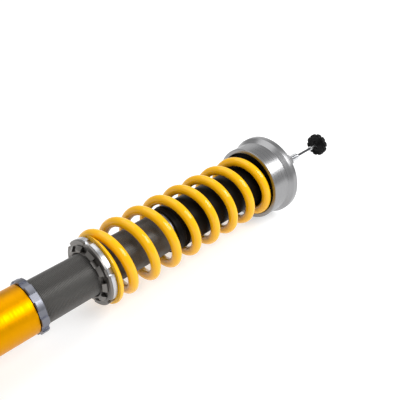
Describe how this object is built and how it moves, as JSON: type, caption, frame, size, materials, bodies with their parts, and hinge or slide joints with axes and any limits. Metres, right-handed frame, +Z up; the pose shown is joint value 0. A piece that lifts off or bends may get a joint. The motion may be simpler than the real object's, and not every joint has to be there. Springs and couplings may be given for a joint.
{
  "type": "coilover",
  "caption": "Height-adjustable coilover strut: threaded damper in a lower housing, coil spring between perch and top seat, knob-adjusted damping.",
  "frame": {"origin": "middle of the bounding box in X and Y, on the surface that the strut lies on", "axes": "X runs along the strut from the knuckle bracket to the damping knob, Z is up, and the bracket's plates hang down"},
  "size_m": [0.6832, 0.1106, 0.1106],
  "materials": {
    "gold_anodised": "satin gold anodising",
    "bracket_coat": "satin dark grey coat",
    "ring_grey": "satin blue-grey anodising",
    "body_black": "dark grey fine thread, satin",
    "gland_grey": "satin grey anodising",
    "plain_steel": "plain bright steel",
    "seal_rubber": "smooth black rubber",
    "bare_aluminium": "machined",
    "bronze": "plain bearing bronze",
    "chromed_rod": "hard chrome, polished",
    "ptfe_band": "bronze-filled band",
    "bump_foam": "matte elastomer foam",
    "turned_aluminium": "turned, clear anodised",
    "isolator_rubber": "matte black rubber",
    "boot_rubber": "matte black rubber",
    "dark_steel": "black oxide",
    "bright_steel": "bright plated",
    "knob_plastic": "black moulded plastic",
    "perch_grey": "satin dark grey anodising",
    "bare_ring": "bright turned aluminium",
    "spring_paint": "glossy yellow powder coat"
  },
  "bodies": {
    "housing": {"lower_housing": "gold_anodised", "knuckle_bracket": "bracket_coat"},
    "body_lock": {"body_lock_ring": "ring_grey"},
    "damper": {"damper_body": "body_black", "rod_gland": "gland_grey", "base_cap": "gland_grey", "fill_screw": "plain_steel", "base_cap_ring": "seal_rubber", "gland_ring": "seal_rubber", "guide_bush": "bronze", "rod_seal": "seal_rubber", "wiper_seal": "seal_rubber"},
    "gas_piston": {"floating_piston": "bare_aluminium", "floating_piston_ring": "seal_rubber"},
    "rod": {"piston_rod": "chromed_rod", "piston": "bare_aluminium", "piston_band": "ptfe_band", "compression_shims": "plain_steel", "rebound_shims": "plain_steel", "stack_washer": "plain_steel", "piston_nut": "plain_steel", "stop_collar": "plain_steel", "topout_bumper": "seal_rubber", "bump_stop": "bump_foam", "bump_washer": "plain_steel", "seat_bush": "bronze", "bearing_upper_race": "plain_steel", "bearing_cage": "bronze", "top_spacer": "plain_steel", "nut_washer": "plain_steel", "top_nut": "plain_steel"},
    "upper_seat": {"top_seat": "turned_aluminium", "top_isolator": "isolator_rubber", "dust_boot": "boot_rubber", "bearing_lower_race": "plain_steel"},
    "knob": {"adjuster_rod": "dark_steel", "knob_collar": "bright_steel", "adjuster_knob": "knob_plastic", "knob_grub_screw": "dark_steel"},
    "needle": {"metering_needle": "plain_steel"},
    "spring_seat": {"spring_seat_ring": "bare_ring", "main_spring": "spring_paint"},
    "perch": {"spring_perch": "perch_grey"},
    "perch_lock": {"perch_lock_ring": "perch_grey"}
  },
  "joints": [
    {"name": "body_lock_turn", "type": "hinge", "parent": "housing", "child": "body_lock", "pos_m": [-0.1741, 0, 0.0553], "axis": [1, 0, 0], "range_deg": [-3620, 4700]},
    {"name": "ride_height", "type": "slide", "parent": "housing", "child": "damper", "axis": [1, 0, 0], "range_m": [-0.0195, 0.015]},
    {"name": "damper_stroke", "type": "slide", "parent": "damper", "child": "rod", "axis": [1, 0, 0], "range_m": [-0.085, 0], "stiffness_N_per_m": 64000, "deforming": ["main_spring"]},
    {"name": "gas_piston_travel", "type": "slide", "parent": "damper", "child": "gas_piston", "axis": [1, 0, 0], "range_m": [-0.017, 0]},
    {"name": "seat_swivel", "type": "hinge", "parent": "rod", "child": "upper_seat", "pos_m": [0.1979, 0, 0.0553], "axis": [1, 0, 0], "continuous": true},
    {"name": "damping_knob", "type": "hinge", "parent": "rod", "child": "knob", "pos_m": [0.2846, 0, 0.0553], "axis": [1, 0, 0], "range_deg": [-724, 2]},
    {"name": "needle_travel", "type": "slide", "parent": "rod", "child": "needle", "axis": [1, 0, 0], "range_m": [-0.0012, 0]},
    {"name": "spring_preload", "type": "slide", "parent": "damper", "child": "spring_seat", "axis": [1, 0, 0], "range_m": [-0.0195, 0.00375], "deforming": ["main_spring"]},
    {"name": "perch_turn", "type": "hinge", "parent": "spring_seat", "child": "perch", "pos_m": [-0.0951, 0, 0.0553], "axis": [1, 0, 0], "range_deg": [-4700, 915]},
    {"name": "perch_lock_turn", "type": "hinge", "parent": "spring_seat", "child": "perch_lock", "pos_m": [-0.0951, 0, 0.0553], "axis": [1, 0, 0], "range_deg": [-4700, 915]}
  ],
  "couplings": [
    {"joint": "body_lock_turn", "follows": "ride_height", "rad_per_m": -4188.8},
    {"joint": "gas_piston_travel", "follows": "damper_stroke", "ratio": 0.19753},
    {"joint": "damping_knob", "follows": "needle_travel", "rad_per_m": 10472},
    {"joint": "perch_turn", "follows": "spring_preload", "rad_per_m": 4188.8},
    {"joint": "perch_lock_turn", "follows": "spring_preload", "rad_per_m": 4188.8}
  ]
}
